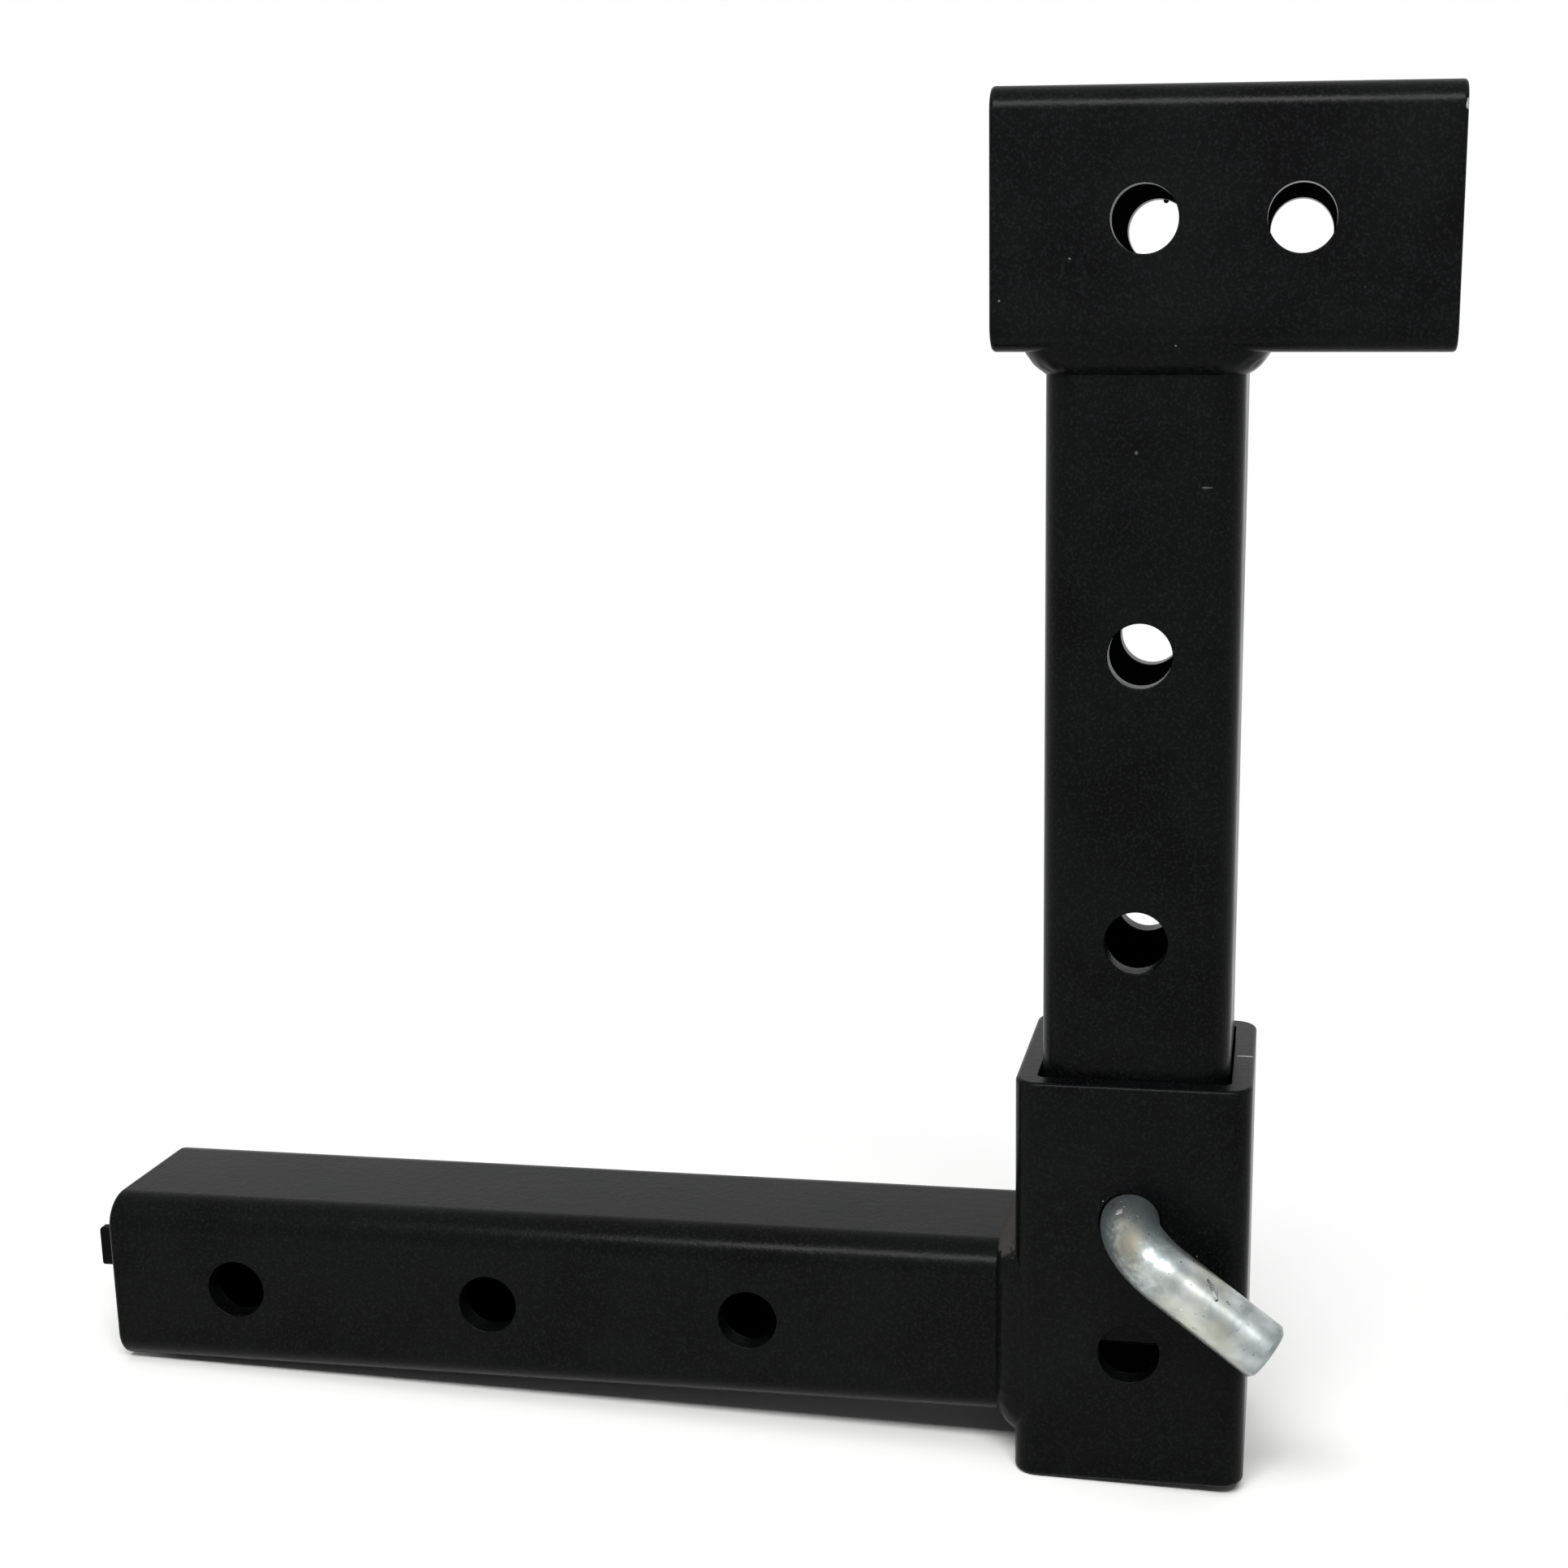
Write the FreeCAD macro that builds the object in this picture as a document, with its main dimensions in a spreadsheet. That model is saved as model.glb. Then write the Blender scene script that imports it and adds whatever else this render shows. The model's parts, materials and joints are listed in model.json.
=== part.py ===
import FreeCAD, Part
import math
import os
import re
import Sketcher

# Adjustable receiver hitch for a 2 inch receiver, in millimetres.
# A shank is welded to an upright sleeve, a post slides in the sleeve and carries a receiver head,
# and one bent pin through sleeve and post sets the height in steps.
# Frame: origin on the shank's axis at its outermost pin hole, +X towards the sleeve, +Z up,
# +Y along the pin holes and away from the side that the pin enters.

SIZES = [
    ("tube_side", 50.8, "outside of the shank and of the post"),
    ("tube_wall", 6.35, "wall of the shank and of the post"),
    ("tube_corner", 9.0, "outer corner radius of the shank and of the post"),
    ("tube_first_hole", 38.1, "free end of a tube to its first pin hole"),
    ("tube_hole_pitch", 76.2, "pin hole to pin hole along the shank and the post"),
    ("tube_hole_count", 3, "pin holes along the shank and the post"),
    ("shank_length", 266.7, "free end of the shank to the sleeve"),
    ("post_length", 266.7, "lower end of the post to the head"),
    ("slide_clearance", 0.45, "gap on each side between a tube and the bore that it slides in"),
    ("sleeve_wall", 5.9, "wall of the sleeve and of the head"),
    ("sleeve_corner", 6.35, "outer corner radius of the sleeve and of the head"),
    ("bore_corner", 1.5, "corner radius inside the sleeve and the head"),
    ("sleeve_length", 114.3, "height of the sleeve"),
    ("head_length", 114.3, "length of the receiver head"),
    ("sleeve_first_hole", 38.1, "end of the sleeve or head to its first pin hole"),
    ("sleeve_hole_pitch", 38.1, "pin hole to pin hole in the sleeve and the head"),
    ("sleeve_hole_count", 2, "pin holes in the sleeve and the head"),
    ("shank_height", 38.1, "lower end of the sleeve to the shank's axis"),
    ("head_overhang", 38.1, "short end of the head to the post's axis"),
    ("edge_round", 1.0, "rounding of the outer edges where a tube is cut off"),
    ("pin_diameter", 15.875, "hitch pin rod"),
    ("hole_clearance", 0.45, "gap around a centred pin in its holes"),
    ("seat_gap", 0.1, "gap left where the pinned post bears on the pin"),
    ("pin_tail", 24.0, "pin standing out behind the sleeve"),
    ("pin_standoff", 0.5, "sleeve face to the start of the pin's bend"),
    ("pin_bend_radius", 15.5, "bend of the pin at its centre line"),
    ("pin_bend_angle", 82.7, "turn of the pin's bend, degrees"),
    ("pin_arm", 32.5, "straight arm of the pin past its bend"),
    ("pin_swing", 34.5, "arm below the horizontal, degrees"),
    ("pin_chamfer", 1.2, "chamfer at both ends of the pin"),
    ("clip_hole", 4.4, "cross hole for a clip in the pin's tail"),
    ("clip_hole_inset", 9.0, "end of the pin's tail to the clip hole"),
    ("weld_leg", 5.5, "weld bead along the tube and across the face that it meets"),
    ("weld_toe", 0.25, "thickness of the bead where it runs out on the tube"),
    ("weld_wrap", 55, "how far the bead climbs round the rounded corner, degrees"),
    ("weld_overrun", 0.3, "bead outline carried on inside the wall before it is trimmed"),
    ("plug_clearance", 0.1, "gap between the end plug and the shank's inside"),
    ("plug_face", 3.0, "thickness of the end plug's face"),
    ("plug_skirt", 2.2, "wall of the end plug's skirt"),
    ("plug_depth", 15.0, "depth of the end plug inside the shank"),
    ("tab_length", 17.3, "pull tab standing out of the end plug"),
    ("tab_height", 12.0, "height of the pull tab"),
    ("tab_thickness", 4.0, "thickness of the pull tab"),
]
SHEET = "Sizes"
NAMES = re.compile(r"\b(" + "|".join(name for name, value, note in SIZES) + r")\b")

# Sizes and places that several pieces share, written in the driving dimensions.
SLEEVE_BORE = "(tube_side + 2 * slide_clearance)"
SLEEVE_SIDE = f"({SLEEVE_BORE} + 2 * sleeve_wall)"
TUBE_INSIDE = "(tube_side - 2 * tube_wall)"
TUBE_INNER_CORNER = "(tube_corner - tube_wall)"
PIN_HOLE = "(pin_diameter + 2 * hole_clearance)"
SLEEVE_X = f"(shank_length - tube_first_hole + {SLEEVE_SIDE} / 2)"
PIN_Z = "(sleeve_first_hole + sleeve_hole_pitch - shank_height)"
POST_BOTTOM = f"({PIN_Z} - tube_first_hole - hole_clearance + seat_gap)"
HEAD_BOTTOM = f"({POST_BOTTOM} + post_length)"

# A sketch is first drawn at this size, and its formulas then set the real one.
DRAFT = 5.0
# Lengths closer than this count as equal.
CLOSE = 1e-6
UPWARD = FreeCAD.Vector(0, 0, 1)

doc = FreeCAD.newDocument("receiver_hitch")
sheet = doc.addObject("Spreadsheet::Sheet", SHEET)
for row, (name, value, note) in enumerate(SIZES, start=1):
    sheet.set(f"A{row}", note)
    sheet.set(f"B{row}", str(value))
    sheet.setAlias(f"B{row}", name)
doc.recompute()


def bind(obj, prop, formula):
    """Ties a property of a document object to a formula in the driving dimensions."""
    obj.setExpression(prop, NAMES.sub(rf"{SHEET}.\1", formula))


def place(obj, x="0", y="0", z="0"):
    """Ties the position of an object to three formulas."""
    for axis, formula in zip("xyz", (x, y, z)):
        bind(obj, f"Placement.Base.{axis}", formula)


def turn(obj, axis, angle):
    """Turns an object about one of its own axes, by an angle in degrees."""
    obj.Placement = FreeCAD.Placement(FreeCAD.Vector(), FreeCAD.Rotation(axis, angle))


def on_plane(sketch, body, role):
    """Attaches a sketch to one of its body's origin planes."""
    plane = next(f for f in body.Origin.OriginFeatures if f.Role == role)
    sketch.AttachmentSupport = [(plane, "")]
    sketch.MapMode = "FlatFace"


def rounded_rectangle(sketch, name, width, height, corner):
    """Draws a centred rectangle with round corners, its width, height and corner each bound to a formula."""
    half, round_off = 4 * DRAFT, DRAFT
    flat = half - round_off
    turns = [(1, 1), (-1, 1), (-1, -1), (1, -1)]
    quarter = math.pi / 2
    arcs = []
    for k, (sx, sy) in enumerate(turns):
        circle = Part.Circle(FreeCAD.Vector(sx * flat, sy * flat, 0), UPWARD, round_off)
        arcs.append(sketch.addGeometry(Part.ArcOfCircle(circle, k * quarter, (k + 1) * quarter), False))
    ends = [((flat, half), (-flat, half)), ((-half, flat), (-half, -flat)),
            ((-flat, -half), (flat, -half)), ((half, -flat), (half, flat))]
    lines = [sketch.addGeometry(Part.LineSegment(FreeCAD.Vector(*a, 0), FreeCAD.Vector(*b, 0)), False)
             for a, b in ends]
    for k in range(4):
        sketch.addConstraint(Sketcher.Constraint("Tangent", arcs[k], 2, lines[k], 1))
        sketch.addConstraint(Sketcher.Constraint("Tangent", lines[k], 2, arcs[(k + 1) % 4], 1))
    for k, kind in enumerate(("Horizontal", "Vertical", "Horizontal", "Vertical")):
        sketch.addConstraint(Sketcher.Constraint(kind, lines[k]))
    for arc in arcs[1:]:
        sketch.addConstraint(Sketcher.Constraint("Equal", arcs[0], arc))
    sketch.addConstraint(Sketcher.Constraint("Symmetric", arcs[0], 3, arcs[2], 3, -1, 1))
    sized = [(Sketcher.Constraint("DistanceX", lines[1], 1, lines[3], 2, 2 * half), "width", width),
             (Sketcher.Constraint("DistanceY", lines[2], 1, lines[0], 2, 2 * half), "height", height),
             (Sketcher.Constraint("Radius", arcs[0], round_off), "corner", corner)]
    for constraint, word, formula in sized:
        index = sketch.addConstraint(constraint)
        sketch.renameConstraint(index, f"{name}_{word}")
        bind(sketch, f"Constraints.{name}_{word}", formula)


def new_body(label):
    body = doc.addObject("PartDesign::Body", label)
    body.Label = label
    return body


def body_sketch(body, name, role):
    sketch = body.newObject("Sketcher::SketchObject", name)
    on_plane(sketch, body, role)
    return sketch


def pad(body, sketch, name, length, reverse=False):
    feature = body.newObject("PartDesign::Pad", name)
    feature.Profile = sketch
    feature.Reversed = reverse
    bind(feature, "Length", length)
    return feature


def outer_end_edges(feature, side):
    """Names the edges round the outside of both cut ends of a tube that runs along X."""
    box = feature.Shape.BoundBox
    reach = side / 2
    names = []
    for k, edge in enumerate(feature.Shape.Edges, start=1):
        size = edge.BoundBox
        at_end = min(abs(size.XMin - box.XMin), abs(size.XMax - box.XMax)) < CLOSE
        flat = size.XLength < CLOSE and at_end
        outside = max(abs(size.YMin), abs(size.YMax), abs(size.ZMin), abs(size.ZMax)) > reach - CLOSE
        if flat and outside:
            names.append(f"Edge{k}")
    return names


def drilled_tube(label, side, corner, inside, inside_corner, length, first_hole, pitch, count):
    """A square tube along X from its own origin, with a row of pin holes along Y through both walls."""
    body = new_body(label)
    section = body_sketch(body, f"{label}_section", "YZ_Plane")
    rounded_rectangle(section, "outer", side, side, corner)
    rounded_rectangle(section, "inner", inside, inside, inside_corner)
    wall = pad(body, section, f"{label}_wall", length)
    doc.recompute()

    ends = body.newObject("PartDesign::Fillet", f"{label}_ends")
    outside = max(wall.Shape.BoundBox.YLength, wall.Shape.BoundBox.ZLength)
    ends.Base = (wall, outer_end_edges(wall, outside))
    bind(ends, "Radius", "edge_round")
    doc.recompute()

    drawn = body_sketch(body, f"{label}_hole", "XZ_Plane")
    start = FreeCAD.Vector(2 * DRAFT, 0, 0)
    circle = drawn.addGeometry(Part.Circle(start, UPWARD, DRAFT), False)
    drawn.addConstraint(Sketcher.Constraint("PointOnObject", circle, 3, -1))
    for constraint, word, formula in (
            (Sketcher.Constraint("DistanceX", -1, 1, circle, 3, start.x), "place", first_hole),
            (Sketcher.Constraint("Diameter", circle, 2 * DRAFT), "bore", PIN_HOLE)):
        drawn.renameConstraint(drawn.addConstraint(constraint), word)
        bind(drawn, f"Constraints.{word}", formula)
    hole = body.newObject("PartDesign::Pocket", f"{label}_bore")
    hole.Profile = drawn
    hole.Type = "ThroughAll"
    hole.Midplane = True
    row = body.newObject("PartDesign::LinearPattern", f"{label}_row")
    row.Originals = [hole]
    row.Direction = (drawn, ["H_Axis"])
    bind(row, "Length", f"{pitch} * ({count} - 1)")
    bind(row, "Occurrences", count)
    body.Tip = row
    doc.recompute()
    holes_made = (ends.Shape.Volume - row.Shape.Volume) / (ends.Shape.Volume - hole.Shape.Volume)
    wanted = sheet.get(count)
    if ends.Shape.Volume <= hole.Shape.Volume or round(holes_made, 3) != wanted:
        raise RuntimeError(f"{label} has {holes_made:.2f} pin holes, and needs {wanted}")
    return body


def inch_tube(label, length):
    """The tube that the shank and the post are cut from."""
    return drilled_tube(label, "tube_side", "tube_corner", TUBE_INSIDE, TUBE_INNER_CORNER, length,
                        "tube_first_hole", "tube_hole_pitch", "tube_hole_count")


def receiver_tube(label, length):
    """The wider tube that the sleeve and the head are cut from: the inch tube slides inside it."""
    return drilled_tube(label, SLEEVE_SIDE, "sleeve_corner", SLEEVE_BORE, "bore_corner", length,
                        "sleeve_first_hole", "sleeve_hole_pitch", "sleeve_hole_count")


def outline(name, width, height, corner, offset):
    """A free sketch of a round-cornered rectangle across X, at a given offset along X."""
    sketch = doc.addObject("Sketcher::SketchObject", name)
    turn(sketch, FreeCAD.Vector(1, 1, 1), 120)
    rounded_rectangle(sketch, "edge", width, height, corner)
    place(sketch, x=offset)
    return sketch


def extruded(name, sketch, length, symmetric=False):
    """A solid drawn along the normal of a sketch."""
    solid = doc.addObject("Part::Extrusion", name)
    solid.Base = sketch
    solid.DirMode = "Normal"
    solid.Solid = True
    solid.Symmetric = symmetric
    bind(solid, "LengthFwd", length)
    return solid


def seam_weld(label):
    """The bead round a tube that arrives along X at the flat side of a receiver tube at x = 0."""
    climb = "(sleeve_corner * (1 - cos(weld_wrap)) + weld_overrun)"
    cheek = f"({SLEEVE_SIDE} - 2 * sleeve_corner * (1 - sin(weld_wrap)))"
    spread = f"(tube_side + 2 * (weld_leg + {climb}))"
    toe = "(tube_side + 2 * weld_toe)"
    bead = doc.addObject("Part::Loft", f"{label}_bead")
    bead.Sections = [
        outline(f"{label}_toe", toe, toe, "(tube_corner + weld_toe)", "-weld_leg"),
        outline(f"{label}_root", cheek, spread, "(tube_corner + weld_leg)", climb),
    ]
    bead.Solid = True
    bead.Ruled = True

    tube = outline(f"{label}_tube_outline", "tube_side", "tube_side", "tube_corner", "-2 * weld_leg")
    tube_core = extruded(f"{label}_tube_core", tube, f"2 * weld_leg + {climb}")
    wall = doc.addObject("Sketcher::SketchObject", f"{label}_wall_outline")
    rounded_rectangle(wall, "edge", SLEEVE_SIDE, SLEEVE_SIDE, "sleeve_corner")
    place(wall, x=f"{SLEEVE_SIDE} / 2")
    wall_core = extruded(f"{label}_wall_core", wall, f"2 * {spread}", symmetric=True)

    outside_tube = doc.addObject("Part::Cut", f"{label}_outside_tube")
    outside_tube.Base = bead
    outside_tube.Tool = tube_core
    weld = doc.addObject("Part::Cut", label)
    weld.Base = outside_tube
    weld.Tool = wall_core
    weld.Label = label
    return weld


def hitch_pin(label):
    """A bent rod along Y: its shaft crosses the sleeve and the post, and its arm is the handle."""
    body = new_body(label)
    path = body_sketch(body, f"{label}_path", "XY_Plane")
    tail, bend, arm = 10 * DRAFT, 6 * DRAFT, 4 * DRAFT
    shaft = path.addGeometry(Part.LineSegment(FreeCAD.Vector(0, tail, 0), FreeCAD.Vector(0, -bend, 0)), False)
    corner = Part.Circle(FreeCAD.Vector(arm, -bend, 0), UPWARD, arm)
    turned = path.addGeometry(Part.ArcOfCircle(corner, math.pi, 1.5 * math.pi), False)
    grip = path.addGeometry(
        Part.LineSegment(FreeCAD.Vector(arm, -bend - arm, 0), FreeCAD.Vector(2 * arm, -bend - arm, 0)), False)
    path.addConstraint(Sketcher.Constraint("Vertical", shaft))
    path.addConstraint(Sketcher.Constraint("PointOnObject", shaft, 1, -2))
    path.addConstraint(Sketcher.Constraint("Tangent", shaft, 2, turned, 1))
    path.addConstraint(Sketcher.Constraint("Tangent", turned, 2, grip, 1))
    behind = f"({SLEEVE_SIDE} / 2 + pin_tail)"
    whole = f"({behind} + {SLEEVE_SIDE} / 2 + pin_standoff)"
    for constraint, word, formula in (
            (Sketcher.Constraint("DistanceY", -1, 1, shaft, 1, tail), "tail", behind),
            (Sketcher.Constraint("Distance", shaft, 1, shaft, 2, tail + bend), "shaft", whole),
            (Sketcher.Constraint("Radius", turned, arm), "bend", "pin_bend_radius"),
            (Sketcher.Constraint("Angle", shaft, grip, math.pi / 2), "turn", "pin_bend_angle"),
            (Sketcher.Constraint("Distance", grip, 1, grip, 2, arm), "arm", "pin_arm")):
        path.renameConstraint(path.addConstraint(constraint), word)
        bind(path, f"Constraints.{word}", formula)

    section = body_sketch(body, f"{label}_section", "XZ_Plane")
    bind(section, "AttachmentOffset.Base.z", f"-{behind}")
    rod = section.addGeometry(Part.Circle(FreeCAD.Vector(), UPWARD, DRAFT), False)
    section.addConstraint(Sketcher.Constraint("Coincident", rod, 3, -1, 1))
    section.renameConstraint(section.addConstraint(Sketcher.Constraint("Diameter", rod, 2 * DRAFT)), "rod")
    bind(section, "Constraints.rod", "pin_diameter")
    doc.recompute()

    pipe = body.newObject("PartDesign::AdditivePipe", f"{label}_rod")
    pipe.Profile = section
    pipe.Spine = (path, ["Edge1", "Edge2", "Edge3"])
    doc.recompute()
    ends = [f"Edge{k}" for k, edge in enumerate(pipe.Shape.Edges, start=1)
            if any(len(face.Edges) == 1 and face.Edges[0].isSame(edge) for face in pipe.Shape.Faces)]
    chamfer = body.newObject("PartDesign::Chamfer", f"{label}_ends")
    chamfer.Base = (pipe, ends)
    bind(chamfer, "Size", "pin_chamfer")
    doc.recompute()

    across = body_sketch(body, f"{label}_clip_hole", "XY_Plane")
    clip_place = f"{behind} - clip_hole_inset"
    circle = across.addGeometry(Part.Circle(FreeCAD.Vector(0, tail, 0), UPWARD, DRAFT), False)
    across.addConstraint(Sketcher.Constraint("PointOnObject", circle, 3, -2))
    for constraint, word, formula in (
            (Sketcher.Constraint("DistanceY", -1, 1, circle, 3, tail), "place", clip_place),
            (Sketcher.Constraint("Diameter", circle, 2 * DRAFT), "bore", "clip_hole")):
        across.renameConstraint(across.addConstraint(constraint), word)
        bind(across, f"Constraints.{word}", formula)
    drilled = body.newObject("PartDesign::Pocket", f"{label}_clip_bore")
    drilled.Profile = across
    drilled.Type = "ThroughAll"
    drilled.Midplane = True
    body.Tip = drilled
    doc.recompute()
    if drilled.Shape.Volume >= chamfer.Shape.Volume:
        raise RuntimeError("the clip hole misses the pin's tail")
    return body


def end_plug(label):
    """A plug inside the shank's free end, its face flush with the cut, with a tab to pull it by."""
    body = new_body(label)
    across = f"({TUBE_INSIDE} - 2 * plug_clearance)"
    corner = f"({TUBE_INNER_CORNER} - plug_clearance)"
    face = body_sketch(body, f"{label}_face_outline", "YZ_Plane")
    rounded_rectangle(face, "outer", across, across, corner)
    pad(body, face, f"{label}_face", "plug_face")
    skirt = body_sketch(body, f"{label}_skirt_outline", "YZ_Plane")
    rounded_rectangle(skirt, "outer", across, across, corner)
    inside = f"({across} - 2 * plug_skirt)"
    rounded_rectangle(skirt, "inner", inside, inside, f"{corner} / 2")
    pad(body, skirt, f"{label}_skirt", "plug_depth")
    tab = body_sketch(body, f"{label}_tab_outline", "YZ_Plane")
    rounded_rectangle(tab, "outer", "tab_thickness", "tab_height", "tab_thickness / 4")
    body.Tip = pad(body, tab, f"{label}_tab", "tab_length", reverse=True)
    return body


UPRIGHT = (FreeCAD.Vector(0, 1, 0), -90)

shank = inch_tube("shank_tube", "shank_length")
place(shank, x="-tube_first_hole")

plug = end_plug("shank_end_plug")
place(plug, x="-tube_first_hole")

sleeve = receiver_tube("receiver_sleeve", "sleeve_length")
turn(sleeve, *UPRIGHT)
place(sleeve, x=SLEEVE_X, z="-shank_height")

shank_weld = seam_weld("shank_weld")
place(shank_weld, x="shank_length - tube_first_hole")

post = inch_tube("post_tube", "post_length")
turn(post, *UPRIGHT)
place(post, x=SLEEVE_X, z=POST_BOTTOM)

head = receiver_tube("head_receiver", "head_length")
place(head, x=f"{SLEEVE_X} - head_overhang", z=f"{HEAD_BOTTOM} + {SLEEVE_SIDE} / 2")

head_weld = seam_weld("head_weld")
turn(head_weld, *UPRIGHT)
place(head_weld, x=SLEEVE_X, z=HEAD_BOTTOM)

pin = hitch_pin("hitch_pin")
turn(pin, FreeCAD.Vector(0, 1, 0), sheet.pin_swing)
bind(pin, "Placement.Rotation.Angle", "pin_swing")
place(pin, x=SLEEVE_X, z=PIN_Z)

doc.recompute()
pieces = [shank, plug, sleeve, shank_weld, post, head, head_weld, pin]
for obj in doc.Objects:
    if any(word in ("Invalid", "Error") for word in obj.State):
        raise RuntimeError(f"{obj.Label} did not build: {obj.State}")
for piece in pieces:
    shape = piece.Shape
    if shape.isNull() or not shape.isValid() or len(shape.Solids) != 1:
        raise RuntimeError(f"{piece.Label} is not one valid solid")

os.makedirs("parts", exist_ok=True)
for piece in pieces:
    piece.Shape.exportStep(f"parts/{piece.Label}.step")
    box = piece.Shape.BoundBox
    print(f"{piece.Label}: {piece.Shape.Volume / 1000:.1f} cm3, x {box.XMin:.2f} to {box.XMax:.2f},"
          f" y {box.YMin:.2f} to {box.YMax:.2f}, z {box.ZMin:.2f} to {box.ZMax:.2f}")
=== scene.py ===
# %% [markdown]
# # An adjustable receiver hitch
# A hitch like this is four lengths of square steel tube, two welds, one bent pin and a plug.
# The solids in the frame fix where everything is. This lesson models the same pieces again with
# the small roundings, weld ripples and finishes that the eye looks for, and never moves a solid.

# %% Load the frame
import json
import math

import bmesh
import bpy
import numpy as np
from mathutils import Matrix, Vector


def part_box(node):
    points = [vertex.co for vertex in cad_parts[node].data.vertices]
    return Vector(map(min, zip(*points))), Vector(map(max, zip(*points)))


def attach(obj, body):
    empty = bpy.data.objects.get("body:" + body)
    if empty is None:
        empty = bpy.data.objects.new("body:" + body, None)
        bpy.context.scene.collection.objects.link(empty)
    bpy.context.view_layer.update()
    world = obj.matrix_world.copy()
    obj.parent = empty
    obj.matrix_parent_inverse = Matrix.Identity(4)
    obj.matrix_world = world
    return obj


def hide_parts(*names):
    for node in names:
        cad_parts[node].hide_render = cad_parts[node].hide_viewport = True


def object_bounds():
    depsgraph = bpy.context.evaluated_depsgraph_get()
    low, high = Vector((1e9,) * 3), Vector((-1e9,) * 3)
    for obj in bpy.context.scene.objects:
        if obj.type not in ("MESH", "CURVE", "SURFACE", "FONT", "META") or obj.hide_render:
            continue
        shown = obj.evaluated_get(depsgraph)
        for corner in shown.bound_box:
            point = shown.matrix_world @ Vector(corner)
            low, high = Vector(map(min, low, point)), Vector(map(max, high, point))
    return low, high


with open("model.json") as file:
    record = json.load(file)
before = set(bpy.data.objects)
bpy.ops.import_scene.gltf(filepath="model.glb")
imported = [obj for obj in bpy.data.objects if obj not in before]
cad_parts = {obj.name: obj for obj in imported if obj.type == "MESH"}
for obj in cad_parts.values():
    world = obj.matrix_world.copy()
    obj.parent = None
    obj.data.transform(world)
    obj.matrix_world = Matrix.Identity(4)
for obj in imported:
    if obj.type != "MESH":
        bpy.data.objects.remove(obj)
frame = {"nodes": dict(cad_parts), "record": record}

cad_box = [list(corner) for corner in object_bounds()]
MM = 0.001
print("solids:", ", ".join(frame["nodes"]))

# %% [markdown]
# ## Sizes
# Most sizes can be read off the frame: a box around each solid, and the pin holes that the record
# lists. Only what a box can't tell, such as a wall or a corner radius, is written here.

# %% Read the sizes
shank_low, shank_high = map(Vector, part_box("shank_tube"))
post_low, post_high = map(Vector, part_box("post_tube"))
sleeve_low, sleeve_high = map(Vector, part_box("receiver_sleeve"))
head_low, head_high = map(Vector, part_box("head_receiver"))
mounts = {mount["name"]: mount for mount in frame["record"]["mounts"]}
hole_at = {name: Vector(mount["pos_m"]) for name, mount in mounts.items()}

tube_side = shank_high.z - shank_low.z
tube_wall = 6.35 * MM
tube_corner = 9.0 * MM
tube_first_hole = hole_at["shank_pin_hole_outer"].x - shank_low.x
tube_hole_pitch = hole_at["shank_pin_hole_middle"].x - hole_at["shank_pin_hole_outer"].x
receiver_side = sleeve_high.y - sleeve_low.y
receiver_corner = 6.35 * MM
bore_play = 0.45 * MM
bore_side = tube_side + 2 * bore_play
bore_corner = 1.5 * MM
receiver_first_hole = hole_at["head_pin_hole_short_end"].x - head_low.x
receiver_hole_pitch = hole_at["head_pin_hole_long_end"].x - hole_at["head_pin_hole_short_end"].x
hole_diameter = 2 * mounts["shank_pin_hole_outer"]["dims"]["r_mm"] * MM
print(f"tube {tube_side / MM:.1f} mm, receiver tube {receiver_side / MM:.1f} mm")
print(f"holes {hole_diameter / MM:.2f} mm, {tube_hole_pitch / MM:.1f} mm apart on the tube")

# %% [markdown]
# ## One function for nodes
# A node tree is boxes and links, for a shape and for a finish alike. One small function adds a box.
# It takes the box's settings, and for each input a plain value, or another box to link to it.

# %% Add a node
def node(tree, kind, settings=None, **inputs):
    """Adds a node. An input goes by its name with _ for a space, or as in2 for the third one."""
    made = tree.nodes.new(kind)
    for name, value in (settings or {}).items():
        setattr(made, name, value)
    for key, value in inputs.items():
        numbered = key.startswith("in") and key[2:].isdigit()
        target = made.inputs[int(key[2:])] if numbered else made.inputs[key.replace("_", " ")]
        for one in value if isinstance(value, list) else [value]:
            if isinstance(one, bpy.types.Node):
                one = next(socket for socket in one.outputs if socket.enabled)
            if isinstance(one, bpy.types.NodeSocket):
                tree.links.new(one, target)
            else:
                target.default_value = one
    return made


def linear(hex_colour):
    """An sRGB hex colour as the linear numbers that a shader takes."""
    parts = [int(hex_colour[k:k + 2], 16) / 255 for k in (1, 3, 5)]
    parts = [p / 12.92 if p <= 0.04045 else ((p + 0.055) / 1.055) ** 2.4 for p in parts]
    return (*parts, 1.0)


print("a middle grey in linear light:", [round(part, 3) for part in linear("#808080")])

# %% [markdown]
# ## Powder coat
# Polyester powder is sprayed dry on blasted steel and baked, so it melts into a thick film.
# The eye gets a deep black with a satin sheen, a fine orange peel that breaks up every highlight,
# clouds of slightly more or less gloss, and a few pale grains of dust that were baked in.
# An image could hold all that, but noise on Object coordinates needs no unwrapping and has no seams.
# Chips and dull places are masks: a distance to a place on the hitch, with its edge bitten by noise.

# %% Start a material and mask a mark on it
RAGGED = 1.6 * MM
BITE = 1.4
EDGE = 1.7
CRISP = 0.3


def new_material(name):
    """An empty material, and the tree that its nodes go in."""
    material = bpy.data.materials.new(name)
    material.use_nodes = True
    material.node_tree.nodes.clear()
    return material, material.node_tree


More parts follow.
